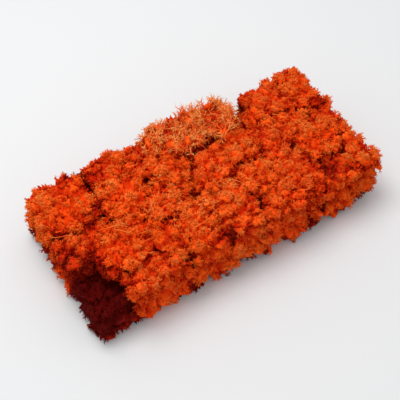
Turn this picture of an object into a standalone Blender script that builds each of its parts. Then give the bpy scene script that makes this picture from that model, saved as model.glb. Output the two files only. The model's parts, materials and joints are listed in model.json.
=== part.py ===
"""A clump of dyed reindeer lichen that has been pressed into a long block and keeps that shape.

Crown heads stand side by side over a bed of broader heads. Each head grew as one piece, so each is one
object: a body of billows with branch tips standing out of it, flattened where it presses on its neighbours.
"""
import math
from itertools import product
from typing import NamedTuple

import bmesh
import bpy
import numpy as np
from mathutils import Vector

MM = 0.001

# The sides of the block that the heads are pressed into
CLUMP_LENGTH = 372 * MM
CLUMP_WIDTH = 180 * MM

# Heads in contact keep this gap
CONTACT_GAP = 0.3 * MM

# A head's body is a rounded block. A squareness of 2 is a plain ellipsoid. The buried parts fill their
# corners more than the crowns do.
CROWN_SQUARENESS = 3.6
BURIED_SQUARENESS = 4.5

# How much wider than its share of the clump a head would spread if nothing pressed on it
FREE_SPREAD = 1.26

CROWN_ROOT_DROP = 56 * MM
BED_CENTRE_HEIGHT = 20 * MM
BED_ROOT_DROP = 21.5 * MM

# How strongly a bed head holds its ground against a crown head, as the radius of an equal one
BED_PRESSING_RADIUS = 27 * MM

# The flat spot under each bed head
FOOT_RADIUS = 9 * MM

# Billows, which run on from head to head, and the branch tips on them
BILLOW_SPACING = 17 * MM
BILLOW_RADIUS = 12 * MM
BILLOW_DEPTH = 8 * MM
TIP_LENGTH = 4 * MM
TIP_SPACING = 6.4 * MM
TIP_UNEVENNESS = 1 * MM

# How strongly each corner of a face may draw the tip that stands on it
TIP_LEAN = (0.25, 0.6)

# Where the valleys of a head are pressed against its neighbours it has no tips, and few faces, except
# along the rim of such a place
PRESSED_MARGIN = 0.5 * MM
PRESSED_SPACING = 17 * MM
RIM_WIDTH = 2.5 * MM
RIM_SPACING = 6.4 * MM

# A place is buried, and as bare, if within these distances something lies over it on every side. A body
# hides what is behind it with this share of its radius.
COVER_DISTANCES = (5 * MM, 10 * MM, 18 * MM, 30 * MM)
COVER_SHARE = 0.86
FOOT_SPACING = 6 * MM
FOOT_FLATNESS = 0.01 * MM

# Tips stand wider apart on the underside, which is where a head falls away steeper than this
UNDERSIDE_SPACING = 11 * MM
UNDERSIDE_SLOPE = 0.6

DRY_ROUGHNESS = 0.8
DIRECTIONS_TRIED = 2600
SEED = 7


class Head(NamedTuple):
    """One lichen head: its place from the clump's middle, the height of its crown, and how far it reaches
    each way, in millimetres. rise is the height of its dome above its widest level."""

    name: str
    x: float
    y: float
    top: float
    reach_x: float
    reach_y: float
    rise: float = 28
    tint: str = "lichen_orange"


CROWN_HEADS = (
    Head("back_head_1", -145, 52, 78, 34, 38, 30, "lichen_orange"),
    Head("back_head_2", -90, 68, 77, 31, 27, 28, "lichen_orange"),
    Head("back_head_3", -49, 64, 75, 24, 29, 27, "lichen_red_orange"),
    Head("back_head_4", -2, 60, 90, 33, 34, 34, "lichen_pale_orange"),
    Head("back_head_5", 46, 63, 85, 29, 29, 30, "lichen_pale_orange"),
    Head("back_head_6", 98, 40, 76, 22, 21, 24, "lichen_orange"),
    Head("back_head_7", 133, 58, 76, 31, 34, 28, "lichen_red_orange"),
    Head("back_head_8", 169, 52, 80, 26, 42, 28, "lichen_orange"),
    Head("middle_head_1", -153, -3, 68, 30, 27, 26, "lichen_red_orange"),
    Head("middle_head_2", -88, 24, 77, 31, 29, 28, "lichen_orange"),
    Head("middle_head_3", -53, -6, 77, 28, 28, 26, "lichen_pale_orange"),
    Head("middle_head_4", -25, 24, 81, 29, 29, 28, "lichen_orange"),
    Head("middle_head_5", 13, 6, 81, 29, 31, 28, "lichen_red_orange"),
    Head("middle_head_6", 53, 14, 79, 30, 30, 28, "lichen_orange"),
    Head("middle_head_7", 92, 1, 78, 26, 28, 27, "lichen_red_orange"),
    Head("middle_head_8", 128, 14, 75, 28, 28, 27, "lichen_orange"),
    Head("middle_head_9", 166, 0, 74, 25, 28, 26, "lichen_red_orange"),
    Head("front_head_1", -115, -31, 79, 37, 31, 30, "lichen_orange"),
    Head("front_head_2", -104, -71, 72, 34, 24, 26, "lichen_red_orange"),
    Head("front_head_3", -75, -51, 78, 24, 26, 27, "lichen_orange"),
    Head("front_head_4", -37, -58, 77, 28, 33, 28, "lichen_orange"),
    Head("front_head_5", 5, -53, 77, 32, 38, 28, "lichen_pale_orange"),
    Head("front_head_6", 48, -33, 78, 28, 28, 27, "lichen_orange"),
    Head("front_head_7", 53, -71, 74, 32, 23, 26, "lichen_red_orange"),
    Head("front_head_8", 92, -48, 77, 30, 34, 28, "lichen_red_orange"),
    Head("front_head_9", 134, -25, 79, 30, 30, 28, "lichen_orange"),
    Head("front_head_10", 135, -68, 74, 28, 26, 26, "lichen_orange"),
    Head("front_head_11", 170, -58, 71, 25, 36, 26, "lichen_orange"),
)

BED_HEADS = (
    Head("bed_head_1", -150, 44, 44, 44, 52, 26, "lichen_deep_red"),
    Head("bed_head_2", -75, 46, 44, 44, 52, 26, "lichen_deep_red"),
    Head("bed_head_3", 2, 44, 45, 44, 52, 26, "lichen_deep_red"),
    Head("bed_head_4", 76, 46, 45, 46, 54, 26, "lichen_red_orange"),
    Head("bed_head_5", 150, 44, 44, 44, 52, 26, "lichen_deep_red"),
    Head("bed_head_6", -152, -46, 47, 44, 52, 28, "lichen_deep_red"),
    Head("bed_head_7", -74, -44, 44, 44, 52, 26, "lichen_deep_red"),
    Head("bed_head_8", 1, -46, 44, 44, 52, 26, "lichen_deep_red"),
    Head("bed_head_9", 77, -44, 44, 44, 52, 26, "lichen_deep_red"),
    Head("bed_head_10", 151, -46, 44, 44, 52, 26, "lichen_deep_red"),
)

TINTS = {
    "lichen_orange": (0.60, 0.065, 0.006, 1.0),
    "lichen_red_orange": (0.52, 0.045, 0.005, 1.0),
    "lichen_pale_orange": (0.68, 0.105, 0.016, 1.0),
    "lichen_deep_red": (0.33, 0.018, 0.003, 1.0),
}


def clear_scene():
    """Removes whatever the file holds."""
    for old in list(bpy.data.objects):
        bpy.data.objects.remove(old, do_unlink=True)


def lichen_material(tint):
    """A dry, matt surface in one of the dye's tints."""
    material = bpy.data.materials.get(tint) or bpy.data.materials.new(tint)
    material.use_nodes = True
    shader = material.node_tree.nodes["Principled BSDF"]
    shader.inputs["Base Color"].default_value = TINTS[tint]
    shader.inputs["Roughness"].default_value = DRY_ROUGHNESS
    shader.inputs["Metallic"].default_value = 0.0
    return material


def spiral_directions(count):
    """Unit directions spread evenly over a sphere on a golden-angle spiral."""
    step = np.arange(count) + 0.5
    height = 1 - 2 * step / count
    around = step * math.pi * (3 - math.sqrt(5))
    level = np.sqrt(1 - height**2)
    return np.stack([level * np.cos(around), level * np.sin(around), height], axis=1)


def unit(vectors):
    """The vectors at length 1."""
    return vectors / np.linalg.norm(vectors, axis=-1, keepdims=True)


def spaced_choice(points, spacing, order):
    """Indices of points, taken in this order, that keep their own spacing from those already taken."""
    chosen = []
    for index in order:
        if chosen:
            apart = np.linalg.norm(points[chosen] - points[index], axis=1)
            if (apart < spacing[index]).any():
                continue
        chosen.append(index)
    return chosen


class Surface(NamedTuple):
    """What a head does in each of many directions: how far its tips and the valleys between them lie from
    its centre, how far it may reach at most, and whether it is pressed there or on the rim of such a place."""

    tips: np.ndarray
    valleys: np.ndarray
    limit: np.ndarray
    pressed: np.ndarray
    rim: np.ndarray


class HeadForm:
    """The shape of one head as a radius for each direction from its centre."""

    def __init__(self, head, is_bed, seed):
        self.head = head
        centre_height = BED_CENTRE_HEIGHT if is_bed else (head.top - head.rise) * MM
        self.centre = np.array([head.x * MM, head.y * MM, centre_height])
        self.reach = np.array([head.reach_x, head.reach_y]) * MM * FREE_SPREAD
        self.is_bed = is_bed
        self.pressing_radius = BED_PRESSING_RADIUS if is_bed else (head.reach_x + head.reach_y) / 2 * MM
        self.rise = head.top * MM - centre_height
        self.drop = BED_ROOT_DROP if is_bed else CROWN_ROOT_DROP
        self.random = np.random.default_rng(seed)
        self.contacts = []
        self.walls = [(np.array([0.0, 0.0, -1.0]), centre_height)]
        for axis, half in enumerate((CLUMP_LENGTH / 2, CLUMP_WIDTH / 2)):
            for side in (-1.0, 1.0):
                normal = np.zeros(3)
                normal[axis] = side
                self.walls.append((normal, half - side * self.centre[axis]))
        self.billows = np.zeros((0, 3))
        self.near_billows = np.zeros((0, 3))

    def body_radius(self, directions):
        """The rounded block's radius, with no billows and not pressed by anything."""
        upright = np.where(directions[:, 2] > 0, self.rise, self.drop)
        shares = np.abs(directions) / np.column_stack(
            [np.full(len(directions), self.reach[0]), np.full(len(directions), self.reach[1]), upright]
        )
        is_crown = (directions[:, 2] > 0) & (not self.is_bed)
        squareness = np.where(is_crown, CROWN_SQUARENESS, BURIED_SQUARENESS)
        return (shares ** squareness[:, None]).sum(axis=1) ** (-1 / squareness)

    def longest_reach(self):
        """A distance from the centre that no part of the head passes."""
        corner = 3 ** (0.5 - 1 / BURIED_SQUARENESS)
        return max(*self.reach, self.rise, self.drop) * corner

    def press_against(self, other):
        """Adds the plane that parts this head from another, where two bubbles of their radii would meet."""
        line = other.centre - self.centre
        distance = np.linalg.norm(line)
        if distance > self.longest_reach() + other.longest_reach():
            return
        bulge = self.pressing_radius**2 - other.pressing_radius**2
        self.contacts.append((line / distance, (distance + bulge / distance) / 2 - CONTACT_GAP / 2))

    @staticmethod
    def plane_limit(directions, planes):
        """How far each direction runs before it meets the first of the planes."""
        limit = np.full(len(directions), np.inf)
        for normal, offset in planes:
            slope = directions @ normal
            ahead = slope > 1e-6
            limit[ahead] = np.minimum(limit[ahead], offset / slope[ahead])
        return limit

    def swell(self, points):
        """How far each point of the body stands up its billow, from 0 in a crevice to 1 on top."""
        nearest = np.linalg.norm(points[:, None] - self.near_billows[None], axis=2).min(axis=1)
        return np.sqrt(np.clip(1 - (nearest / BILLOW_RADIUS) ** 2, 0, 1))

    def surface(self, directions):
        """Works out the head's surface in these directions."""
        contact = self.plane_limit(directions, self.contacts)
        wall = self.plane_limit(directions, self.walls)
        body = np.minimum(self.body_radius(directions), wall)
        points = directions * np.minimum(body, contact)[:, None]
        tips = body.copy()
        if len(self.near_billows):
            tips -= BILLOW_DEPTH * (1 - self.swell(points + self.centre))
        valleys = tips - TIP_LENGTH
        pressed = valleys > contact - PRESSED_MARGIN
        rim = pressed & (valleys < contact + RIM_WIDTH)
        valleys = np.minimum(valleys, contact)
        tips = np.minimum(tips, contact)
        if self.is_bed:
            foot = (directions[:, 2] < 0) & (np.hypot(points[:, 0], points[:, 1]) < FOOT_RADIUS)
            pressed |= foot
            valleys[foot] = wall[foot]
        return Surface(tips, valleys, np.minimum(contact, wall), pressed, rim)

    def place_billows(self, placed):
        """Spreads billow centres over the part of the head that shows, clear of those placed already."""
        directions = spiral_directions(DIRECTIONS_TRIED)
        surface = self.surface(directions)
        points = self.centre + directions * surface.tips[:, None]
        crowded = (np.linalg.norm(points[:, None] - placed[None], axis=2) < BILLOW_SPACING).any(axis=1)
        order = self.random.permutation(np.flatnonzero(~surface.pressed & ~crowded))
        self.billows = points[spaced_choice(points, np.full(len(points), BILLOW_SPACING), order)]

    def find_near_billows(self, placed):
        """Keeps the billow centres that shape this head, its neighbours' ones among them."""
        apart = np.linalg.norm(placed - self.centre, axis=1)
        self.near_billows = placed[apart < self.longest_reach() + BILLOW_RADIUS]

    def holds(self, points):
        """Which of the points lie well inside the head's body."""
        out = points - self.centre
        distance = np.linalg.norm(out, axis=1)
        directions = out / distance[:, None]
        limit = self.plane_limit(directions, self.contacts + self.walls)
        return distance < np.minimum(self.body_radius(directions) * COVER_SHARE, limit)

    def find_buried(self, points, directions, forms):
        """Which points of the head have no way out of the clump on any side."""
        span = self.longest_reach() + max(COVER_DISTANCES)
        near = [form for form in forms if np.linalg.norm(form.centre - self.centre) < span + form.longest_reach()]
        buried = np.ones(len(points), dtype=bool)
        for way in unit(np.array([way for way in product((-1, 0, 1), repeat=3) if any(way)])):
            covered = directions @ way < 0
            for distance in COVER_DISTANCES:
                open_still = np.flatnonzero(buried & ~covered)
                for form in near:
                    covered[open_still] |= form.holds(points[open_still] + way * distance)
            buried &= covered
        return buried

    def grow_mesh(self, forms):
        """The head as a closed mesh: spaced valleys joined by faces, with a tip on each face that shows."""
        directions = spiral_directions(DIRECTIONS_TRIED)
        surface = self.surface(directions)
        points = directions * surface.valleys[:, None]
        buried = self.find_buried(self.centre + points, directions, forms)
        bare = surface.pressed | buried
        rim = surface.rim & ~buried
        spacing = np.where(directions[:, 2] < -UNDERSIDE_SLOPE, UNDERSIDE_SPACING, TIP_SPACING)
        spacing = np.where(bare, PRESSED_SPACING, spacing)
        spacing[rim] = RIM_SPACING
        on_foot = np.abs(points[:, 2] + self.centre[2]) < FOOT_FLATNESS
        spacing[on_foot] = FOOT_SPACING
        shown_first = [self.random.permutation(np.flatnonzero(part)) for part in (rim, ~bare, bare & ~rim)]
        chosen = spaced_choice(points, spacing, np.concatenate(shown_first))

        shape = bmesh.new()
        at_unit = {shape.verts.new(directions[index]): index for index in chosen}
        bmesh.ops.convex_hull(shape, input=list(shape.verts))
        bmesh.ops.triangulate(shape, faces=list(shape.faces))
        shown = [face for face in shape.faces if not all(bare[at_unit[v]] for v in face.verts)]
        raised = bmesh.ops.poke(shape, faces=shown)["verts"]

        weights = self.random.uniform(*TIP_LEAN, (len(raised), 3))
        around = [[at_unit[edge.other_vert(tip)] for edge in tip.link_edges] for tip in raised]
        corners = directions[np.array(around)]
        tip_directions = unit((corners * weights[:, :, None]).sum(axis=1))
        surface = self.surface(tip_directions)
        unevenness = self.random.uniform(-TIP_UNEVENNESS, TIP_UNEVENNESS, len(raised))
        tips = np.minimum(surface.tips + unevenness, surface.limit)
        for vertex, direction, radius in zip(raised, tip_directions, tips):
            vertex.co = Vector(self.centre + direction * radius)
        for vertex, index in at_unit.items():
            vertex.co = Vector(self.centre + points[index])
        bmesh.ops.recalc_face_normals(shape, faces=list(shape.faces))
        if shape.calc_volume(signed=True) < 0:
            bmesh.ops.reverse_faces(shape, faces=list(shape.faces))
        mesh = bpy.data.meshes.new(self.head.name)
        shape.to_mesh(mesh)
        shape.free()
        return mesh


def build_clump():
    """Presses all heads against each other and makes an object of each."""
    forms = [HeadForm(head, False, SEED + n) for n, head in enumerate(CROWN_HEADS)]
    forms += [HeadForm(head, True, SEED + len(CROWN_HEADS) + n) for n, head in enumerate(BED_HEADS)]
    for form in forms:
        for other in forms:
            if other is not form:
                form.press_against(other)
    placed = np.zeros((0, 3))
    for form in forms:
        form.place_billows(placed)
        placed = np.concatenate([placed, form.billows])
    for form in forms:
        form.find_near_billows(placed)
        mesh = form.grow_mesh(forms)
        mesh.materials.append(lichen_material(form.head.tint))
        bpy.context.scene.collection.objects.link(bpy.data.objects.new(form.head.name, mesh))


clear_scene()
build_clump()
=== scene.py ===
"""Dresses the pressed clump of dyed reindeer lichen.

Every head of the frame is replaced by one piece: a fine shell that follows the head's solid, cut by furrows
and pits as the crowded branches leave them, with small branching sprigs on its ridges. The piece's own UV
map keeps how far a place stands out of the pits, in U, and its tone, in V: the tint's patches, with painted
shade where a place lies closed in, in a furrow or in a painted shade spot, and painted light where it lies
open. The finishes read their colours from that map, darker and redder low in U, which is partly the tint
and partly painted shade in the pits.
"""
import json
import logging
import math
from dataclasses import dataclass, field
from enum import Enum

import bmesh
import bpy
import numpy as np
from mathutils import Matrix, Vector, noise
from mathutils.bvhtree import BVHTree


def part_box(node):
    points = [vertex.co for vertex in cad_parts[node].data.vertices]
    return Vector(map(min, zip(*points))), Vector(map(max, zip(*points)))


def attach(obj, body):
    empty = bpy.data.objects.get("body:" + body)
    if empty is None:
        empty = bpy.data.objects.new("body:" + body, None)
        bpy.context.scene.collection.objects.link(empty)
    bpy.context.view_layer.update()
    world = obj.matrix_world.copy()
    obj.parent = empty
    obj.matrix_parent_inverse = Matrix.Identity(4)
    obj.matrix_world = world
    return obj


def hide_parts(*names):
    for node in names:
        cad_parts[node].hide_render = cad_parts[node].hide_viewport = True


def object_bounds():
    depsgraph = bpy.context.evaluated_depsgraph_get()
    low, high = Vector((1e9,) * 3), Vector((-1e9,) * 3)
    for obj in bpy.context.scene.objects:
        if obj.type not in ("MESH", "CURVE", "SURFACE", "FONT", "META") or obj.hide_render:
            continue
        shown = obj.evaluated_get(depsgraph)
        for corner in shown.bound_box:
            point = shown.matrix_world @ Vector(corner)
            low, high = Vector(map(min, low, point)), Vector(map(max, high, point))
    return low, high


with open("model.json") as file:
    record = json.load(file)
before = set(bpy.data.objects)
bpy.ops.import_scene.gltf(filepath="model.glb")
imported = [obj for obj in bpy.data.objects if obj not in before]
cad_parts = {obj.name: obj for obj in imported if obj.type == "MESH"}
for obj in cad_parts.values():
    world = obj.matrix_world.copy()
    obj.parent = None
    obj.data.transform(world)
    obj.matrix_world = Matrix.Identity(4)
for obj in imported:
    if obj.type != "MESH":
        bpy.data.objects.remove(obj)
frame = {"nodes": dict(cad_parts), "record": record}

MM = 0.001
BODY = "root"
STRAND_MAP = "OFBake"
FRAME_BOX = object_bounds()
LOG = logging.getLogger("lichen_clump")

Colour = tuple[float, float, float]
Layer = bmesh.types.BMLayerItem
Socket = bpy.types.NodeSocket

# Every face keeps this much width in the map, so that the finish can be baked
STRIP = (-0.012, 0.0, 0.012)

# Heights and tones keep this far from the map's edges, which leaves room for the strip
MAP_EDGE = 0.03

# The map's height at the foot of a sprig, which stands on the shell's ridges
SPRIG_FOOT = 0.35

# Blender's own vector noise differs from one start to the next, so its three parts are read at fixed places
NOISE_STARTS = ((0.0, 0.0, 0.0), (31.4, 7.1, 0.0), (0.0, 47.7, 13.3))


def ease(value: float, start: float, end: float) -> float:
    """Maps a value from 0 at start to 1 at end, with soft ends."""
    share = min(max((value - start) / (end - start), 0.0), 1.0)
    return share * share * (3 - 2 * share)


def within_map(value: float) -> float:
    """Keeps a height or a tone inside the map's edges."""
    return min(max(value, MAP_EDGE), 1 - MAP_EDGE)


class Habit(Enum):
    """How the branches of a head grow."""

    CUSHION = "short sprigs with crowded tips"
    FILAMENT = "long bare strands that fork seldom"
    BED = "sprigs of the lower layer"
    STEM = "a long bare strand laid over the others"


@dataclass(frozen=True)
class SprigShape:
    """The sizes of a branching sprig, which forks in threes and then in threes again.

    Args:
        radius: the trunk's radius.
        trunk: the length of the trunk's first run.
        bends: the lengths of its further runs, each of which turns a little.
        crotch: how far a fork's middle stands up, as a share of the branch's width.
        branches: the lengths of a branch's runs between the trunk's fork and its last fork.
        lift: how strongly a branch turns towards the sprig's axis, from 0 to 1.
        taper: a run's width at its far end, as a share of its near end's.
        wander: how far a branch's direction and length stray, as a share.
        tip: the length of the pointed ends.
        trunk_wander: how much of the wander the trunk has.
        fork_wander: how much of the wander a branch has where it leaves the trunk.
        tip_sizes: the least and the greatest length of a pointed end, as shares.
        tip_stray: how far a pointed end strays, as a share of its length.
    """

    radius: float
    trunk: float
    bends: tuple[float, ...]
    crotch: float
    branches: tuple[float, ...]
    lift: float
    taper: float
    wander: float
    tip: float
    trunk_wander: float = 0.4
    fork_wander: float = 0.5
    tip_sizes: tuple[float, float] = (0.5, 1.3)
    tip_stray: float = 0.3


SPRIG_SHAPES = {
    Habit.CUSHION: SprigShape(
        radius=0.72 * MM,
        trunk=1.3 * MM,
        bends=(),
        crotch=0.42,
        branches=(1.7 * MM,),
        lift=0.20,
        taper=0.86,
        wander=0.40,
        tip=1.5 * MM,
    ),
    Habit.FILAMENT: SprigShape(
        radius=0.80 * MM,
        trunk=2.2 * MM,
        bends=(2.6 * MM,),
        crotch=0.45,
        branches=(3.8 * MM,),
        lift=0.12,
        taper=0.92,
        wander=0.45,
        tip=3.4 * MM,
    ),
    Habit.STEM: SprigShape(
        radius=0.80 * MM,
        trunk=5 * MM,
        bends=(5 * MM, 5 * MM, 4 * MM),
        crotch=0.45,
        branches=(4 * MM, 3 * MM),
        lift=0.55,
        taper=0.94,
        wander=0.35,
        tip=4 * MM,
    ),
    Habit.BED: SprigShape(
        radius=0.85 * MM,
        trunk=1.8 * MM,
        bends=(),
        crotch=0.40,
        branches=(2.2 * MM,),
        lift=0.25,
        taper=0.84,
        wander=0.35,
        tip=1.8 * MM,
    ),
}


@dataclass
class Sprig:
    """A branching sprig that stands on the origin and grows along +Z.

    Args:
        shape: its sizes.
        seed: the seed of everything random in it.
    """

    shape: SprigShape
    seed: int

    def grow(self) -> bpy.types.Mesh:
        """Grows the sprig from a three-sided trunk by splitting and drawing out its end faces.

        Returns:
            A closed mesh whose map holds the height along the branches.
        """
        draw = np.random.default_rng(self.seed)
        growth = bmesh.new()
        height = growth.verts.layers.float.new("height")
        bmesh.ops.create_cone(
            growth,
            cap_ends=True,
            segments=3,
            radius1=self.shape.radius,
            radius2=self.shape.radius,
            depth=self.shape.trunk,
            matrix=Matrix.Translation((0, 0, self.shape.trunk / 2)),
        )
        for vertex in growth.verts:
            vertex[height] = vertex.co.z
        top = max(growth.faces, key=lambda face: face.calc_center_median().z)
        course = Vector((0, 0, 1))
        for run in self.shape.bends:
            stray = Vector(draw.normal(0, self.shape.trunk_wander * self.shape.wander, 3))
            course = (course + stray).normalized()
            top = self.draw_out(growth, top, course * run, height)
        for end in self.split(growth, top, height):
            stray = Vector(draw.normal(0, self.shape.wander, 3)) * self.shape.fork_wander
            heading = end.normal * (1 - self.shape.lift) + Vector((0, 0, self.shape.lift)) + stray
            for run in self.shape.branches:
                length = run * (1 + draw.uniform(-1, 1) * self.shape.wander)
                end = self.draw_out(growth, end, heading.normalized() * length, height)
                heading += Vector(draw.normal(0, self.shape.wander, 3)) * heading.length
            for face in self.split(growth, end, height):
                self.point(growth, face, height, draw)
        bmesh.ops.triangulate(growth, faces=list(growth.faces))
        self.map_heights(growth, height)
        mesh = bpy.data.meshes.new("sprig")
        growth.to_mesh(mesh)
        growth.free()
        return mesh

    def split(
        self, growth: bmesh.types.BMesh, face: bmesh.types.BMFace, height: Layer
    ) -> list[bmesh.types.BMFace]:
        """Raises the middle of a branch's end, so that it becomes three faces."""
        rise = self.shape.crotch * math.sqrt(face.calc_area())
        level = max(vertex[height] for vertex in face.verts)
        raised = bmesh.ops.poke(growth, faces=[face], offset=rise)
        raised["verts"][0][height] = level + rise
        return raised["faces"]

    def draw_out(
        self, growth: bmesh.types.BMesh, face: bmesh.types.BMFace, step: Vector, height: Layer
    ) -> bmesh.types.BMFace:
        """Draws a face out into a branch.

        Returns:
            The branch's end face.
        """
        end = bmesh.ops.extrude_discrete_faces(growth, faces=[face])["faces"][0]
        middle = end.calc_center_median()
        for vertex in end.verts:
            vertex.co = middle + (vertex.co - middle) * self.shape.taper + step
            vertex[height] += step.length
        end.normal_update()
        return end

    def point(
        self,
        growth: bmesh.types.BMesh,
        face: bmesh.types.BMFace,
        height: Layer,
        draw: np.random.Generator,
    ) -> None:
        """Ends a face in a pointed tip."""
        level = max(vertex[height] for vertex in face.verts)
        length = self.shape.tip * draw.uniform(*self.shape.tip_sizes)
        tip = bmesh.ops.poke(growth, faces=[face], offset=length)["verts"][0]
        tip.co += Vector(draw.normal(0, self.shape.tip_stray, 3)) * length
        tip[height] = level + length

    @staticmethod
    def map_heights(growth: bmesh.types.BMesh, height: Layer) -> None:
        """Maps the height along the branches to U, and a narrow strip round them to V."""
        top = max(vertex[height] for vertex in growth.verts)
        layer = growth.loops.layers.uv.new(STRAND_MAP)
        for face in growth.faces:
            for step, corner in enumerate(face.loops):
                rise = SPRIG_FOOT + (1 - SPRIG_FOOT) * corner.vert[height] / top
                corner[layer].uv = (rise, STRIP[step % 3])


@dataclass(frozen=True)
class Growth:
    """How a habit's shell and sprigs are made.

    Args:
        kept: how much of its height a tip of the solid keeps in the shell.
        cuts: how many times the shell's edges are cut.
        spacing: the mean distance between sprigs.
        reach: how far a full sprig stands out from its root.
        upright: how strongly the sprigs stand up from the shell.
        tilt: how strongly they lean at random.
        shell_shade: how much deeper the shell's tone is than the head's: painted shade under the sprigs.
        paleness: how much paler the sprigs are than the shell: painted light on the sprigs that stand out.
        spread: how far their tone differs from one to the next.
        stems: how many long bare strands are laid across the head.
    """

    kept: float
    cuts: int
    spacing: float
    reach: float
    upright: float
    tilt: float
    shell_shade: float
    paleness: float
    spread: float
    stems: int


GROWTHS = {
    Habit.CUSHION: Growth(
        kept=0.60,
        cuts=4,
        spacing=5.15 * MM,
        reach=4.5 * MM,
        upright=1.0,
        tilt=0.45,
        shell_shade=0.0,
        paleness=0.05,
        spread=0.12,
        stems=1,
    ),
    Habit.FILAMENT: Growth(
        kept=0.50,
        cuts=4,
        spacing=5.6 * MM,
        reach=10.0 * MM,
        upright=0.12,
        tilt=0.5,
        shell_shade=0.12,
        paleness=0.44,
        spread=0.22,
        stems=16,
    ),
    Habit.BED: Growth(
        kept=0.60,
        cuts=2,
        spacing=6.8 * MM,
        reach=5.5 * MM,
        upright=1.0,
        tilt=0.4,
        shell_shade=0.0,
        paleness=0.0,
        spread=0.14,
        stems=0,
    ),
}


@dataclass
class SprigStock:
    """The sprigs that the heads are planted with, grown once for each habit.

    Args:
        seed: the seed of the first sprig.
        number: how many different sprigs each habit has.
        grown: the sprigs grown so far.
    """

    seed: int = 11
    number: int = 16
    grown: dict[Habit, list[bpy.types.Mesh]] = field(default_factory=dict)

    def kinds(self, habit: Habit) -> list[bpy.types.Mesh]:
        """The habit's different sprigs, grown at the first call."""
        if habit not in self.grown:
            first = self.seed + 100 * list(Habit).index(habit)
            shape = SPRIG_SHAPES[habit]
            self.grown[habit] = [Sprig(shape, first + n).grow() for n in range(self.number)]
        return self.grown[habit]

    def clear(self) -> None:
        """Removes the sprigs once all heads are planted."""
        for meshes in self.grown.values():
            for mesh in meshes:
                bpy.data.meshes.remove(mesh)
        self.grown.clear()


@dataclass(frozen=True)
class PaintedShadeSpot:
    """A place where shade is painted into the tone, as where the growth lies in shade.

    Args:
        place: the spot's middle.
        radius: how far it reaches.
        depth: how much of the tone it takes at most.
        core: the share of the radius within which it takes the most.
    """

    place: tuple[float, float, float]
    radius: float
    depth: float
    core: float = 0.45

    def shade(self, place: Vector) -> float:
        """How much of the tone it takes at a place."""
        way = (place - Vector(self.place)).length
        return self.depth * (1 - ease(way, self.core * self.radius, self.radius))


# Painted shade on the low corner, on the slots and hollows between heads and on the front's middle.
PAINTED_SHADE_SPOTS = (
    PaintedShadeSpot((-0.182, -0.060, 0.045), 60 * MM, 0.66),
    PaintedShadeSpot((-0.188, -0.008, 0.052), 36 * MM, 0.50),
    PaintedShadeSpot((-0.120, 0.078, 0.058), 22 * MM, 0.40),
    PaintedShadeSpot((0.098, 0.090, 0.045), 32 * MM, 0.40),
    PaintedShadeSpot((-0.022, -0.082, 0.066), 17 * MM, 0.40),
    PaintedShadeSpot((0.130, -0.072, 0.062), 20 * MM, 0.48),
    PaintedShadeSpot((0.000, -0.065, 0.073), 46 * MM, 0.14),
)


def deepest_shade(place: Vector) -> float:
    """How much of the tone the painted shade spots take at a place."""
    return max(spot.shade(place) for spot in PAINTED_SHADE_SPOTS)


@dataclass(frozen=True)
class Relief:
    """The furrows between the puffs of branches, and the pits among the strands.

    Both depend on the place alone, so they run on from one head to the next.

    Args:
        furrow_spacing: the distance between furrows.
        furrow_width: a furrow's width, as a share of that distance.
        furrow_depth: how deep a furrow is.
        swell: how far the puffs stand out from the solid.
        pit_spacing: the distance between pits.
        pit_width: how wide a pit's slope is, as a share of that distance.
        pit_depth: how deep a pit is.
        pit_level: how far from its cell's edge a pit starts, as a share of that distance.
        pit_change: how much that differs from patch to patch.
        patch: the size of the patches where pits are many or few.
        waver: how far the pits are drawn out of true.
        waver_size: the size of that wavering.
        grain_size: the size of the fine grain.
        grain_rise: how far the fine grain stands out.
        join_reach: how far from its neighbour a head has grown together with it.
        join_rise: how far the growth fills the groove between them.
        join_patch: the size of the patches where heads have or haven't grown together.
        join_span: the patch noise at which the growth starts, and at which it is full.
        map_level: the map's height for plain growth.
        map_grain: how much the grain changes it.
        map_pit: how much a pit takes from it, darkening the colour there: partly the tint, partly painted
            shade.
        map_furrow: how much a furrow takes from it, darkening the colour there: partly the tint, partly
            painted shade.
    """

    furrow_spacing: float = 17 * MM
    furrow_width: float = 0.40
    furrow_depth: float = 6.5 * MM
    swell: float = 1.5 * MM
    pit_spacing: float = 4.6 * MM
    pit_width: float = 0.30
    pit_depth: float = 2.6 * MM
    pit_level: float = 0.42
    pit_change: float = 0.30
    patch: float = 24 * MM
    waver: float = 0.9 * MM
    waver_size: float = 3 * MM
    grain_size: float = 1.7 * MM
    grain_rise: float = 0.5 * MM
    join_reach: float = 8 * MM
    join_rise: float = 3.5 * MM
    join_patch: float = 34 * MM
    join_span: tuple[float, float] = (-0.30, 0.05)
    map_level: float = 0.62
    map_grain: float = 0.18
    map_pit: float = 0.58
    map_furrow: float = 0.20

    def depths(self, place: Vector) -> tuple[float, float]:
        """How deep a place lies in a pit and in a furrow, each from 0 to 1."""
        stray = Vector([noise.noise(place / self.waver_size + Vector(start)) for start in NOISE_STARTS])
        wavered = place + stray * self.waver
        near = noise.voronoi(wavered / self.pit_spacing)[0]
        least = self.pit_level + self.pit_change * noise.noise(place / self.patch)
        pit = ease(near[1] - near[0], least, least + self.pit_width)
        far = noise.voronoi((place + (wavered - place) * 2) / self.furrow_spacing)[0]
        furrow = 1 - ease(far[1] - far[0], 0.0, self.furrow_width)
        return pit, furrow

    def join(self, place: Vector, others: BVHTree) -> float:
        """How far a place has grown together with the nearest other head, from 0 to 1."""
        gap = others.find_nearest(place, self.join_reach)[3]
        if gap is None:
            return 0.0
        near = 1 - ease(gap, 1 * MM, self.join_reach)
        # Heads don't grow together in the painted shade spots, so that the dark slots there stay open.
        patch = noise.noise(place / self.join_patch) - deepest_shade(place)
        return near * ease(patch, *self.join_span)

    def map_height(self, grain: float, pit: float, furrow: float) -> float:
        """The map's height for a place, from its grain and from how deep it lies in a pit and a furrow."""
        return self.map_level + self.map_grain * grain - self.map_pit * pit - self.map_furrow * furrow


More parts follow.
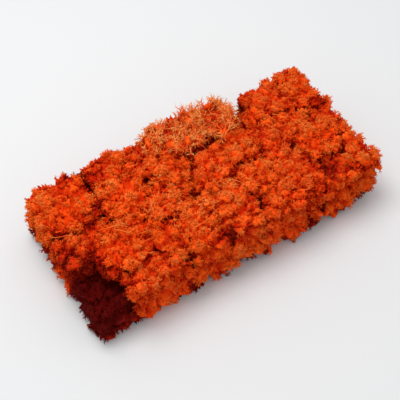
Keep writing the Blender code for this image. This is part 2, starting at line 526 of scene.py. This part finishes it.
@dataclass(frozen=True)
class DyeAndShadeTone:
    """The tone over the clump, from 0, deep, to 1, pale: the tint's patches with painted light and painted
    shade.

    Args:
        middle: the tone of a place that lies as open as most.
        usual_openness: how open such a place lies.
        openness_weight: how much openness changes the tone: painted light where a place lies open, painted
            shade where it lies closed in.
        patch_weight: how much the patches change it.
        patch: the size of the large patches.
        small_patch: the size of the small patches.
        small_weight: how much the small patches count against the large ones.
        join_gain: how much less painted shade it has where heads have grown together and fill the groove.
        furrow_shade: how much deeper it is in a furrow: painted shade.
    """

    middle: float = 0.5
    usual_openness: float = 0.75
    openness_weight: float = 0.45
    patch_weight: float = 0.20
    patch: float = 26 * MM
    small_patch: float = 11 * MM
    small_weight: float = 0.5
    join_gain: float = 0.12
    furrow_shade: float = 0.36

    def at(self, place: Vector, openness: float) -> float:
        """The tone at a place: tint patches, painted light and shade by openness, less the painted shade
        spots.
        """
        patch = noise.noise(place / self.patch) + self.small_weight * noise.noise(place / self.small_patch)
        lit = self.openness_weight * (openness - self.usual_openness)
        return self.middle + lit + self.patch_weight * patch - deepest_shade(place)


@dataclass(frozen=True)
class Root:
    """A place that a sprig grows from.

    Args:
        place: the point inside the shell.
        axis: the direction that the sprig grows in.
        size: its size, where 1 is full size.
        tone: its tone, from 0, deep, to 1, pale, with painted light and shade in it.
        habit: the habit of the sprig.
    """

    place: Vector
    axis: Vector
    size: float
    tone: float
    habit: Habit


@dataclass(frozen=True)
class StrayStem:
    """A long bare strand that lies across a head in plain sight.

    Args:
        node: the head's node.
        start: where the strand starts.
        end: the point that it runs towards.
        size: its size, where 1 is full size.
        tone: its tone.
    """

    node: str
    start: tuple[float, float, float]
    end: tuple[float, float, float]
    size: float
    tone: float = 0.80

    def root(self) -> Root:
        """The strand's root."""
        start = Vector(self.start)
        return Root(start, (Vector(self.end) - start).normalized(), self.size, self.tone, Habit.STEM)


STRAY_STEMS = (
    StrayStem("front_head_1", (-0.1360, -0.0080, 0.0775), (-0.1050, -0.0180, 0.0815), 1.15),
    StrayStem("front_head_1", (-0.1060, -0.0350, 0.0800), (-0.0880, -0.0400, 0.0780), 0.7),
    StrayStem("front_head_1", (-0.1220, -0.0150, 0.0790), (-0.1100, -0.0340, 0.0820), 0.7),
)


@dataclass
class LichenHead:
    """One head of lichen, which replaces the node of the same name.

    Args:
        node: the node's name.
        slot: the material slot of its finish.
        habit: how its branches grow.
        seed: the seed of everything random in it.
        relief: the furrows and pits.
        dye_and_shade: the tone over the clump: the tint's patches with painted light and painted shade.
        rays: how many directions are tried to find how open a place is.
        ray_slopes: how far they lean from the way that the place faces, in turn.
        ray_reach: how far each is followed.
        ray_lift: how far off the solid it starts.
        ray_loss: how much less a downward direction counts, which paints more shade on sides and
            undersides.
        floor_bend: the height below which the growth is pressed flat by the floor.
        smoothing: how many times the shell is smoothed.
        rim_rise: how far its edge is raised along a neighbour.
        ridge: the least height in the map at which sprigs grow.
        under_share: how many of the sprigs grow where the shell faces down.
        outward: how strongly sprigs lean out from the head's middle.
        sink: how far below the shell a sprig is rooted.
        least_rise: how far a sprig rises from the shell at least, as a share of its length.
        sizes: the least and the greatest size of a sprig, where 1 is full size.
        deep_size: the share of it that a sprig of the deepest tone keeps.
        pale_gain: how much of it a sprig of the palest tone gains over that.
        join_gain: how much of it a sprig gains where heads have grown together.
        stem_rise: how far above the shell a long strand lies.
        stem_reach: how long a full strand is.
        stem_sizes: the least and the greatest size of such a strand.
        stem_tone: its tone.
        crown: how far a place must face upwards to carry such a strand.
        proud: how far a tip may stand out of the clump's box.
    """

    node: str
    slot: str
    habit: Habit
    seed: int
    relief: Relief = Relief()
    dye_and_shade: DyeAndShadeTone = DyeAndShadeTone()
    rays: int = 12
    ray_slopes: tuple[float, ...] = (0.5, 1.3, 1.3)
    ray_reach: float = 40 * MM
    ray_lift: float = 1.2 * MM
    ray_loss: float = 0.4
    floor_bend: float = 1.2 * MM
    smoothing: int = 3
    rim_rise: float = 2.0 * MM
    ridge: float = 0.5
    under_share: float = 0.4
    outward: float = 0.4
    sink: float = 0.5 * MM
    least_rise: float = 0.12
    sizes: tuple[float, float] = (0.7, 1.2)
    deep_size: float = 0.75
    pale_gain: float = 0.4
    join_gain: float = 0.35
    stem_rise: float = 2.5 * MM
    stem_reach: float = 30 * MM
    stem_sizes: tuple[float, float] = (0.5, 0.8)
    stem_tone: float = 0.72
    crown: float = 0.6
    proud: float = 5 * MM

    def __post_init__(self) -> None:
        """Finds the head's middle and starts its random draws."""
        low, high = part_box(self.node)
        self.middle = (Vector(low) + Vector(high)) / 2
        self.growth = GROWTHS[self.habit]
        self.draw = np.random.default_rng(self.seed)

    def open_solid(self) -> bmesh.types.BMesh:
        """The head's solid with its corners joined, and layers for each corner's height and tone."""
        shell = bmesh.new()
        shell.from_mesh(frame["nodes"][self.node].data)
        shell.verts.layers.float.new("height")
        shell.verts.layers.float.new("tone")
        shell.loops.layers.uv.new(STRAND_MAP)
        bmesh.ops.remove_doubles(shell, verts=list(shell.verts), dist=0.001 * MM)
        shell.normal_update()
        return shell

    def openness(self, place: Vector, normal: Vector, everything: BVHTree) -> float:
        """The share of directions out of a place that leave the clump, where downward ones count less."""
        side = normal.orthogonal().normalized()
        free = 0
        for n in range(self.rays):
            slope = self.ray_slopes[n % len(self.ray_slopes)]
            turn = Matrix.Rotation(2 * math.pi * n / self.rays, 3, normal)
            heading = (normal + turn @ side * slope).normalized()
            if everything.ray_cast(place + normal * self.ray_lift, heading, self.ray_reach)[0] is None:
                free += 1 - self.ray_loss * ease(-heading.z, 0.0, 0.5)
        return free / self.rays

    def shape_shell(
        self, shell: bmesh.types.BMesh, others: BVHTree, everything: BVHTree
    ) -> list[bmesh.types.BMVert]:
        """Shapes the solid into the shell: lowers its tips, cuts its faces finely, and sinks the relief.

        Args:
            shell: the head's opened solid.
            others: the solids of all other heads.
            everything: the solids of all heads.

        Returns:
            The shell's corners in plain sight.
        """
        bare = shell.faces.layers.int.new("bare")
        tips = [vertex for vertex in shell.verts if len(vertex.link_edges) == 3]
        shown = dict.fromkeys(face for tip in tips for face in tip.link_faces)
        for face in shell.faces:
            face[bare] = face not in shown
        corners = list(dict.fromkeys(corner for face in shown for corner in face.verts))
        self.tint_and_shade_corners(shell, corners, bare, everything)
        for tip in tips:
            foot = sum((edge.other_vert(tip).co for edge in tip.link_edges), Vector()) / 3
            tip.co = foot + (tip.co - foot) * self.growth.kept
        edges = list(dict.fromkeys(edge for face in shown for edge in face.edges))
        cut = bmesh.ops.subdivide_edges(shell, edges=edges, cuts=self.growth.cuts, use_grid_fill=True)
        fresh = [part for part in cut["geom_inner"] if isinstance(part, bmesh.types.BMVert)]
        bmesh.ops.triangulate(shell, faces=[face for face in shell.faces if len(face.verts) > 3])
        grown = [vertex for vertex in dict.fromkeys([*fresh, *corners]) if vertex.is_valid]
        held = [vertex for vertex in grown if any(face[bare] for face in vertex.link_faces)]
        rim = {vertex: self.rim_way(vertex, bare) for vertex in held}
        free = [vertex for vertex in grown if vertex not in rim]
        for vertex, way in rim.items():
            vertex.co += way * self.rim_rise
        for _ in range(self.smoothing):
            bmesh.ops.smooth_vert(
                shell, verts=free, factor=0.5, use_axis_x=True, use_axis_y=True, use_axis_z=True
            )
        shell.normal_update()
        self.sink_relief(shell, grown, rim, others)
        shell.normal_update()
        return grown

    def tint_and_shade_corners(
        self,
        shell: bmesh.types.BMesh,
        corners: list[bmesh.types.BMVert],
        bare: Layer,
        everything: BVHTree,
    ) -> None:
        """Gives the corners their tone: tint patches, painted light and shade by openness, painted shade
        spots.

        Args:
            shell: the head's opened solid.
            corners: its corners in plain sight.
            bare: the layer that marks the faces that are pressed flat.
            everything: the solids of all heads.
        """
        tone = shell.verts.layers.float["tone"]
        for vertex in corners:
            facing = sum((face.normal for face in vertex.link_faces if not face[bare]), Vector())
            openness = self.openness(vertex.co, facing.normalized(), everything)
            vertex[tone] = self.dye_and_shade.at(vertex.co, openness)

    def sink_relief(
        self,
        shell: bmesh.types.BMesh,
        grown: list[bmesh.types.BMVert],
        rim: dict[bmesh.types.BMVert, Vector],
        others: BVHTree,
    ) -> None:
        """Sinks the furrows and pits, and keeps each corner's height and tone.

        Args:
            shell: the shell.
            grown: its corners in plain sight.
            rim: the ways that the corners along a neighbour move.
            others: the solids of all other heads.
        """
        height = shell.verts.layers.float["height"]
        tone = shell.verts.layers.float["tone"]
        relief = self.relief
        for vertex in grown:
            way = rim.get(vertex, vertex.normal)
            join = relief.join(vertex.co, others)
            pit, furrow = relief.depths(vertex.co)
            grain = noise.noise(vertex.co / relief.grain_size)
            vertex.co -= way * (pit * relief.pit_depth + furrow * relief.furrow_depth)
            vertex.co += way * (grain * relief.grain_rise + relief.swell + join * relief.join_rise)
            vertex[height] = relief.map_height(grain, pit, furrow)
            # Painted shade: deeper in the furrows and on the shell under the sprigs, less where heads have
            # grown together.
            vertex[tone] += self.dye_and_shade.join_gain * join - self.dye_and_shade.furrow_shade * furrow - self.growth.shell_shade

    @staticmethod
    def rim_way(vertex: bmesh.types.BMVert, bare: Layer) -> Vector:
        """The direction out of the head, along the face that the head presses on its neighbour."""
        pressed = sum((face.normal for face in vertex.link_faces if face[bare]), Vector()).normalized()
        facing = sum((face.normal for face in vertex.link_faces if not face[bare]), Vector())
        return (facing - pressed * facing.dot(pressed)).normalized()

    def find_roots(
        self, shell: bmesh.types.BMesh, grown: list[bmesh.types.BMVert], others: BVHTree
    ) -> list[Root]:
        """Chooses where sprigs grow, on the ridges between the pits.

        Args:
            shell: the shell.
            grown: its corners in plain sight.
            others: the solids of all other heads.

        Returns:
            The sprigs' roots.
        """
        height = shell.verts.layers.float["height"]
        tone = shell.verts.layers.float["tone"]
        within = set(grown)
        area = sum(face.calc_area() for face in shell.faces if within.issuperset(face.verts))
        ridges = [vertex for vertex in grown if vertex[height] > self.ridge]
        chance = area / self.growth.spacing ** 2 / max(len(ridges), 1)
        roots = [stem.root() for stem in STRAY_STEMS if stem.node == self.node]
        for vertex in ridges:
            share = self.under_share + (1 - self.under_share) * ease(vertex.normal.z, -0.7, 0.1)
            if self.draw.random() > chance * share:
                continue
            join = self.relief.join(vertex.co, others)
            lean = Vector(self.draw.normal(0, self.growth.tilt, 3))
            outward = self.outward * (vertex.co - self.middle).normalized()
            axis = (self.growth.upright * (vertex.normal + outward) + lean).normalized()
            rise = axis.dot(vertex.normal)
            if rise < self.least_rise:
                axis = (axis + (2 * self.least_rise - rise) * vertex.normal).normalized()
            shade = vertex[tone]
            size = self.draw.uniform(*self.sizes)
            size *= (self.deep_size + self.pale_gain * shade) * (1 + self.join_gain * join)
            place = vertex.co - vertex.normal * self.sink
            # The sprig is paler than the shell it stands on, as painted light, with a random spread of its
            # own.
            shade += self.growth.paleness + self.draw.normal(0, self.growth.spread)
            if self.is_within(place + axis * self.growth.reach * size):
                roots.append(Root(place, axis, size, shade, self.habit))
        return roots + self.find_stems(ridges)

    def find_stems(self, ridges: list[bmesh.types.BMVert]) -> list[Root]:
        """Chooses where long strands lie across the head's crown."""
        roots = []
        crown = [vertex for vertex in ridges if vertex.normal.z > self.crown]
        for _ in range(self.growth.stems if crown else 0):
            vertex = crown[self.draw.integers(len(crown))]
            across = vertex.normal.cross(Vector(self.draw.normal(0, 1, 3))).normalized()
            place = vertex.co + vertex.normal * self.stem_rise
            size = self.draw.uniform(*self.stem_sizes)
            if self.is_within(place + across * self.stem_reach * size):
                roots.append(Root(place, across, size, self.stem_tone, Habit.STEM))
        return roots

    def is_within(self, place: Vector) -> bool:
        """Whether a place is in the clump's box, or no further out than its tips may stand proud."""
        low, high = FRAME_BOX
        return all(low[axis] - self.proud < place[axis] < high[axis] + self.proud for axis in range(3))

    @staticmethod
    def map_shell(shell: bmesh.types.BMesh) -> None:
        """Maps the height of each corner of the shell to U and its tone to V."""
        height = shell.verts.layers.float["height"]
        tone = shell.verts.layers.float["tone"]
        layer = shell.loops.layers.uv[STRAND_MAP]
        for face in shell.faces:
            for step, corner in enumerate(face.loops):
                rise = within_map(corner.vert[height])
                shade = within_map(corner.vert[tone])
                corner[layer].uv = (rise + STRIP[step % 3], shade + STRIP[(step + 1) % 3])
        shell.verts.layers.float.remove(tone)
        shell.verts.layers.float.remove(shell.verts.layers.float["height"])

    def build(self, stock: SprigStock, others: BVHTree, everything: BVHTree) -> bpy.types.Object:
        """Builds the head's piece.

        Args:
            stock: the grown sprigs.
            others: the solids of all other heads.
            everything: the solids of all heads.

        Returns:
            The piece, which rides on the body and replaces the node.
        """
        growth = self.open_solid()
        grown = self.shape_shell(growth, others, everything)
        roots = self.find_roots(growth, grown, others)
        self.map_shell(growth)
        tones = self.plant(growth, roots, stock)
        self.press_flat(growth)
        mesh = bpy.data.meshes.new(self.node + "_lichen")
        growth.to_mesh(mesh)
        growth.free()
        self.add_tones(mesh, tones)
        mesh.shade_smooth()
        piece = bpy.data.objects.new(self.node + "_lichen", mesh)
        bpy.context.scene.collection.objects.link(piece)
        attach(piece, BODY)
        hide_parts(self.node)
        return piece

    def plant(self, growth: bmesh.types.BMesh, roots: list[Root], stock: SprigStock) -> np.ndarray:
        """Plants a sprig on each root.

        Args:
            growth: the shell, which the sprigs are added to.
            roots: the sprigs' roots.
            stock: the grown sprigs.

        Returns:
            The tone to add at each corner of each face, which is 0 on the shell.
        """
        tones = [np.zeros(3 * len(growth.faces))]
        for root in roots:
            kinds = stock.kinds(root.habit)
            sprig = kinds[self.draw.integers(len(kinds))].copy()
            turn = Matrix.Rotation(self.draw.uniform(0, 2 * math.pi), 4, "Z")
            stand = root.axis.to_track_quat("Z", "Y").to_matrix().to_4x4()
            sprig.transform(Matrix.Translation(root.place) @ stand @ turn @ Matrix.Scale(root.size, 4))
            growth.from_mesh(sprig)
            tones.append(np.full(3 * len(sprig.polygons), within_map(root.tone)))
            bpy.data.meshes.remove(sprig)
        return np.concatenate(tones)

    def press_flat(self, growth: bmesh.types.BMesh) -> None:
        """Presses the growth flat on the floor, so that nothing reaches below it."""
        for vertex in growth.verts:
            if vertex.co.z < self.floor_bend:
                vertex.co.z = self.floor_bend * math.exp(vertex.co.z / self.floor_bend - 1)

    @staticmethod
    def add_tones(mesh: bpy.types.Mesh, tones: np.ndarray) -> None:
        """Adds each sprig's tone to V, which so far holds only the strip round its branches."""
        layer = mesh.uv_layers[STRAND_MAP].uv
        places = np.empty(2 * len(layer), dtype=np.float32)
        layer.foreach_get("vector", places)
        places[1::2] += tones
        layer.foreach_set("vector", places)


@dataclass(frozen=True)
class LichenFinish:
    """The dyed lichen's finish in one tint.

    Args:
        slot: the material slot.
        root: the colour deep among the branches, darker and redder: partly the tint, partly painted shade.
        branch: the colour of the branches.
        tip: the colour of the tips.
        pale: the colour of the palest tips: partly the tint, partly painted light where a place lies open.
        roughness: the roughness of the tips.
        sheen: how much light the surface mirrors.
        grain_strength: how strongly the fine grain shows.
        grain_rise: how far the fine grain stands out.
    """

    slot: str
    root: Colour
    branch: Colour
    tip: Colour
    pale: Colour
    roughness: float = 0.8
    sheen: float = 0.06
    grain_strength: float = 0.35
    grain_rise: float = 0.15 * MM

    def material(self, strand: bpy.types.ShaderNodeTree) -> bpy.types.Material:
        """Makes the material round the shared strand group."""
        material = bpy.data.materials.new(self.slot)
        material.use_nodes = True
        tree = material.node_tree
        shader = tree.nodes["Principled BSDF"]
        shader.inputs["Specular IOR Level"].default_value = self.sheen
        dye_and_shade = tree.nodes.new("ShaderNodeGroup")
        dye_and_shade.node_tree = strand
        colours = {"Root": self.root, "Branch": self.branch, "Tip": self.tip, "Pale": self.pale}
        for name, colour in colours.items():
            dye_and_shade.inputs[name].default_value = (*colour, 1)
        dye_and_shade.inputs["Tip Roughness"].default_value = self.roughness
        tree.links.new(dye_and_shade.outputs["Colour"], shader.inputs["Base Color"])
        tree.links.new(dye_and_shade.outputs["Roughness"], shader.inputs["Roughness"])
        bump = tree.nodes.new("ShaderNodeBump")
        bump.inputs["Strength"].default_value = self.grain_strength
        bump.inputs["Distance"].default_value = self.grain_rise
        tree.links.new(dye_and_shade.outputs["Grain"], bump.inputs["Height"])
        tree.links.new(bump.outputs["Normal"], shader.inputs["Normal"])
        return material


FINISHES = (
    LichenFinish(
        slot="lichen_orange",
        root=(0.52, 0.007, 0.0006),
        branch=(0.92, 0.082, 0.004),
        tip=(0.97, 0.165, 0.014),
        pale=(0.99, 0.30, 0.055),
    ),
    LichenFinish(
        slot="lichen_red_orange",
        root=(0.48, 0.006, 0.0006),
        branch=(0.90, 0.068, 0.004),
        tip=(0.96, 0.140, 0.012),
        pale=(0.98, 0.27, 0.05),
    ),
    LichenFinish(
        slot="lichen_pale_orange",
        root=(0.56, 0.009, 0.0008),
        branch=(0.94, 0.100, 0.006),
        tip=(0.98, 0.190, 0.019),
        pale=(1.0, 0.38, 0.095),
    ),
    # The deep red is darker still: partly the lower layer's own colour, partly painted shade for the shaded
    # low corner.
    LichenFinish(
        slot="lichen_deep_red",
        root=(0.12, 0.001, 0.0005),
        branch=(0.30, 0.007, 0.001),
        tip=(0.52, 0.035, 0.004),
        pale=(0.70, 0.10, 0.02),
    ),
)


@dataclass(frozen=True)
class StrandGroup:
    """The node group that colours a strand by its height and its tone, painted shade and painted light
    included.

    Each span is the height or the tone at which a colour starts, and at which it has its full share.

    Args:
        name: the group's name.
        painted_shade_colour: the near-black colour of the lowest tones: painted shade.
        branch_heights: the span of the branches' colour.
        tip_heights: the span of the tips' colour.
        deep_tones: the span of the roots' colour, which low tones take: partly the tint, partly painted
            shade.
        deep_most: its full share.
        painted_shade_tones: the span of that painted shade.
        painted_shade_most: its full share.
        pale_tones: the span of the palest colour: partly the tint's pale patches, partly painted light
            where open.
        pale_heights: its span in height, which counts as well.
        pale_most: its full share.
        root_roughness: the roughness at the roots.
        grain_scale: the scale of the fine grain.
        grain_detail: how much detail it has.
    """

    name: str = "Dyed strand with painted shade and light"
    painted_shade_colour: Colour = (0.05, 0.0006, 0.0003)
    branch_heights: tuple[float, float] = (0.0, 0.45)
    tip_heights: tuple[float, float] = (0.45, 0.95)
    deep_tones: tuple[float, float] = (0.48, 0.10)
    deep_most: float = 0.85
    painted_shade_tones: tuple[float, float] = (0.10, 0.035)
    painted_shade_most: float = 0.6
    pale_tones: tuple[float, float] = (0.50, 0.95)
    pale_heights: tuple[float, float] = (0.30, 0.85)
    pale_most: float = 0.9
    root_roughness: float = 0.95
    grain_scale: float = 26
    grain_detail: float = 2

    def build(self) -> bpy.types.ShaderNodeTree:
        """Makes the group with its named inputs and outputs."""
        tree = bpy.data.node_groups.new(self.name, "ShaderNodeTree")
        for name in ("Root", "Branch", "Tip", "Pale"):
            tree.interface.new_socket(name, in_out="INPUT", socket_type="NodeSocketColor")
        tree.interface.new_socket("Tip Roughness", in_out="INPUT", socket_type="NodeSocketFloat")
        tree.interface.new_socket("Colour", in_out="OUTPUT", socket_type="NodeSocketColor")
        tree.interface.new_socket("Roughness", in_out="OUTPUT", socket_type="NodeSocketFloat")
        tree.interface.new_socket("Grain", in_out="OUTPUT", socket_type="NodeSocketFloat")
        given = tree.nodes.new("NodeGroupInput")
        result = tree.nodes.new("NodeGroupOutput")
        strand = tree.nodes.new("ShaderNodeUVMap")
        strand.uv_map = STRAND_MAP
        parts = tree.nodes.new("ShaderNodeSeparateXYZ")
        tree.links.new(strand.outputs["UV"], parts.inputs[0])
        height, tone = parts.outputs["X"], parts.outputs["Y"]
        root, branch, tip = (given.outputs[name] for name in ("Root", "Branch", "Tip"))
        # Paler towards the tips, darker and redder towards the branches' foot and in the pits: partly the
        # tint, partly painted light and shade.
        low = self.blend(tree, self.span(tree, height, *self.branch_heights), root, branch)
        mid = self.blend(tree, self.span(tree, height, *self.tip_heights), low, tip)
        # Low tones turn to the root colour: partly the tint, partly painted shade.
        deep = self.blend(tree, self.span(tree, tone, *self.deep_tones), mid, root, self.deep_most)
        # Painted shade: the lowest tones turn towards near black.
        painted_shade_swatch = tree.nodes.new("ShaderNodeRGB")
        painted_shade_swatch.outputs[0].default_value = (*self.painted_shade_colour, 1)
        painted_shade_share = self.span(tree, tone, *self.painted_shade_tones)
        deep = self.blend(tree, painted_shade_share, deep, painted_shade_swatch.outputs[0], self.painted_shade_most)
        # High places of pale tone turn to the palest colour: partly the tint, partly painted light.
        raised = tree.nodes.new("ShaderNodeMath")
        raised.operation = "MULTIPLY"
        tree.links.new(self.span(tree, tone, *self.pale_tones), raised.inputs[0])
        tree.links.new(self.span(tree, height, *self.pale_heights), raised.inputs[1])
        lit = self.blend(tree, raised.outputs[0], deep, given.outputs["Pale"], self.pale_most)
        tree.links.new(lit, result.inputs["Colour"])
        rough = tree.nodes.new("ShaderNodeMapRange")
        tree.links.new(height, rough.inputs["Value"])
        rough.inputs["To Min"].default_value = self.root_roughness
        tree.links.new(given.outputs["Tip Roughness"], rough.inputs["To Max"])
        tree.links.new(rough.outputs["Result"], result.inputs["Roughness"])
        grain = tree.nodes.new("ShaderNodeTexNoise")
        grain.inputs["Scale"].default_value = self.grain_scale
        grain.inputs["Detail"].default_value = self.grain_detail
        tree.links.new(strand.outputs["UV"], grain.inputs["Vector"])
        tree.links.new(grain.outputs["Fac"], result.inputs["Grain"])
        return tree

    @staticmethod
    def span(tree: bpy.types.ShaderNodeTree, value: Socket, start: float, end: float) -> Socket:
        """Maps a value from 0 at start to 1 at end, with soft ends."""
        node = tree.nodes.new("ShaderNodeMapRange")
        node.interpolation_type = "SMOOTHSTEP"
        tree.links.new(value, node.inputs["Value"])
        node.inputs["From Min"].default_value = start
        node.inputs["From Max"].default_value = end
        return node.outputs["Result"]

    @staticmethod
    def blend(
        tree: bpy.types.ShaderNodeTree, share: Socket, first: Socket, second: Socket, most: float = 1.0
    ) -> Socket:
        """Mixes two colours by a share of at most the given value."""
        limit = tree.nodes.new("ShaderNodeMath")
        limit.operation = "MULTIPLY"
        tree.links.new(share, limit.inputs[0])
        limit.inputs[1].default_value = most
        node = tree.nodes.new("ShaderNodeMix")
        node.data_type = "RGBA"
        tree.links.new(limit.outputs[0], node.inputs["Factor"])
        tree.links.new(first, node.inputs[6])
        tree.links.new(second, node.inputs[7])
        return node.outputs[2]


@dataclass
class Clump:
    """All heads of the clump.

    Args:
        seed: the seed of the first head.
        filament_heads: the nodes of the heads that show long bare strands.
        stock: the sprigs that they are planted with.
    """

    seed: int = 5
    filament_heads: tuple[str, ...] = ("back_head_4", "back_head_5")
    stock: SprigStock = field(default_factory=SprigStock)

    def habit(self, node: str) -> Habit:
        """How the branches of a node's head grow."""
        if node.startswith("bed"):
            return Habit.BED
        return Habit.FILAMENT if node in self.filament_heads else Habit.CUSHION

    @staticmethod
    def search_tree(names: list[str]) -> BVHTree:
        """A tree of the named nodes' solids, for finding what a ray meets first."""
        places = []
        faces = []
        for name in names:
            mesh = frame["nodes"][name].data
            first = len(places)
            places += [vertex.co.copy() for vertex in mesh.vertices]
            faces += [tuple(first + corner for corner in face.vertices) for face in mesh.polygons]
        return BVHTree.FromPolygons(places, faces)

    def build(self) -> list[bpy.types.Object]:
        """Builds and dresses every head."""
        strand = StrandGroup().build()
        materials = {finish.slot: finish.material(strand) for finish in FINISHES}
        slots = {part["node"]: part["material_slot"] for part in frame["record"]["subparts"]}
        names = sorted(frame["nodes"])
        everything = self.search_tree(names)
        pieces = []
        for number, name in enumerate(names):
            others = self.search_tree([other for other in names if other != name])
            head = LichenHead(name, slots[name], self.habit(name), self.seed + number)
            piece = head.build(self.stock, others, everything)
            piece.data.materials.append(materials[head.slot])
            pieces.append(piece)
            LOG.info("%s: %s, %d faces", piece.name, head.habit.value, len(piece.data.polygons))
        self.stock.clear()
        LOG.info("%d faces in all", sum(len(piece.data.polygons) for piece in pieces))
        return pieces


@dataclass(frozen=True)
class Studio:
    """The floor, the soft light and the camera.

    Args:
        camera_place: where the camera stands.
        azimuth: how far the camera looks to the right of +Y.
        elevation: how far it looks down.
        roll: how far it leans over.
        lens: its focal length in millimetres.
        floor_size: the length of the floor's side.
        floor_colour: the floor's colour.
        room_colour: the colour of the room's light.
        room_light: how strong it is.
        lamp_place: where the lamp hangs.
        lamp_size: the length of the lamp's side.
        lamp_power: its power in watts.
    """

    camera_place: tuple[float, float, float] = (-0.31118, -0.50661, 0.79149)
    azimuth: float = math.radians(31.01)
    elevation: float = math.radians(52.18)
    roll: float = math.radians(1.62)
    lens: float = 76.34
    floor_size: float = 6.0
    floor_colour: Colour = (0.72, 0.725, 0.73)
    room_colour: Colour = (0.99, 0.995, 1.0)
    room_light: float = 0.72
    lamp_place: tuple[float, float, float] = (-0.25, 0.35, 1.5)
    lamp_size: float = 0.9
    lamp_power: float = 14.5

    def build(self) -> None:
        """Sets up everything round the clump."""
        self.lay_floor()
        self.light()
        self.place_camera()

    def lay_floor(self) -> None:
        """Lays a plain pale floor."""
        floor = bmesh.new()
        bmesh.ops.create_grid(floor, x_segments=1, y_segments=1, size=self.floor_size / 2)
        mesh = bpy.data.meshes.new("floor")
        floor.to_mesh(mesh)
        floor.free()
        paper = bpy.data.materials.new("pale_floor")
        paper.use_nodes = True
        shader = paper.node_tree.nodes["Principled BSDF"]
        shader.inputs["Base Color"].default_value = (*self.floor_colour, 1)
        shader.inputs["Roughness"].default_value = 0.9
        shader.inputs["Specular IOR Level"].default_value = 0.1
        mesh.materials.append(paper)
        stage = bpy.data.objects.new("floor", mesh)
        bpy.context.scene.collection.objects.link(stage)

    def light(self) -> None:
        """Fills the room with soft light, and hangs one broad lamp over the clump."""
        scene = bpy.context.scene
        scene.view_settings.view_transform = "Standard"
        scene.world = bpy.data.worlds.new("studio")
        scene.world.use_nodes = True
        backdrop = scene.world.node_tree.nodes["Background"]
        backdrop.inputs["Color"].default_value = (*self.room_colour, 1)
        backdrop.inputs["Strength"].default_value = self.room_light
        lamp = bpy.data.lights.new("softbox", "AREA")
        lamp.shape = "SQUARE"
        lamp.size = self.lamp_size
        lamp.energy = self.lamp_power
        holder = bpy.data.objects.new("softbox", lamp)
        scene.collection.objects.link(holder)
        holder.location = self.lamp_place
        holder.rotation_euler = (-holder.location).to_track_quat("-Z", "Y").to_euler()

    def place_camera(self) -> None:
        """Stands the camera where the clump is seen from."""
        ahead = Vector(
            (
                math.sin(self.azimuth) * math.cos(self.elevation),
                math.cos(self.azimuth) * math.cos(self.elevation),
                -math.sin(self.elevation),
            )
        )
        level = ahead.cross(Vector((0, 0, 1))).normalized()
        upright = Matrix((level, level.cross(ahead), -ahead)).transposed()
        data = bpy.data.cameras.new("camera")
        data.lens = self.lens
        camera = bpy.data.objects.new("camera", data)
        bpy.context.scene.collection.objects.link(camera)
        turned = upright @ Matrix.Rotation(-self.roll, 3, "Z")
        camera.matrix_world = Matrix.Translation(self.camera_place) @ turned.to_4x4()
        bpy.context.scene.camera = camera


def main() -> None:
    """Builds the clump and the studio."""
    logging.basicConfig(level=logging.INFO, format="%(message)s")
    Studio().build()
    Clump().build()


if __name__ == "__main__":
    main()
